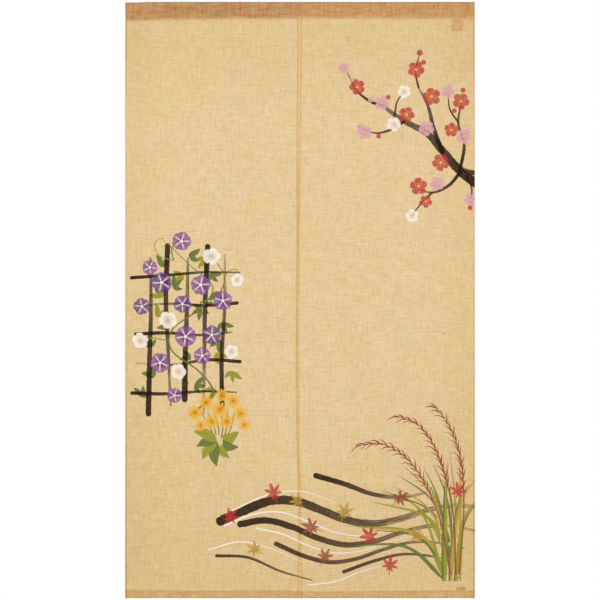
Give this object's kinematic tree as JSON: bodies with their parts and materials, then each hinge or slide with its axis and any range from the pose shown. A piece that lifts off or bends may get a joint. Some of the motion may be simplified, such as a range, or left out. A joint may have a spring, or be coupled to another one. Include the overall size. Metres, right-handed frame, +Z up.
{
  "type": "noren curtain",
  "caption": "Split door curtain of sheer plain-woven hemp, hanging nearly flat, with a stitched rod pocket along its top, a full-length slit and a turned-up hem.",
  "frame": {"origin": "middle of the top edge of the rod pocket", "axes": "+X to the right across the cloth, +Z up, the front faces -Y"},
  "size_m": [0.88, 0.0123, 1.5],
  "materials": {
    "hemp_cloth": "sheer plain weave with slubs, undyed straw colour, dry and matt",
    "hemp_heading": "the same cloth doubled, so darker and browner",
    "label_tape": "plain close-woven tape, nothing on it"
  },
  "bodies": {
    "root": {"left_panel": "hemp_cloth", "right_panel": "hemp_cloth", "left_heading": "hemp_heading", "right_heading": "hemp_heading", "care_label": "label_tape", "hem_label": "label_tape"}
  },
  "joints": []
}
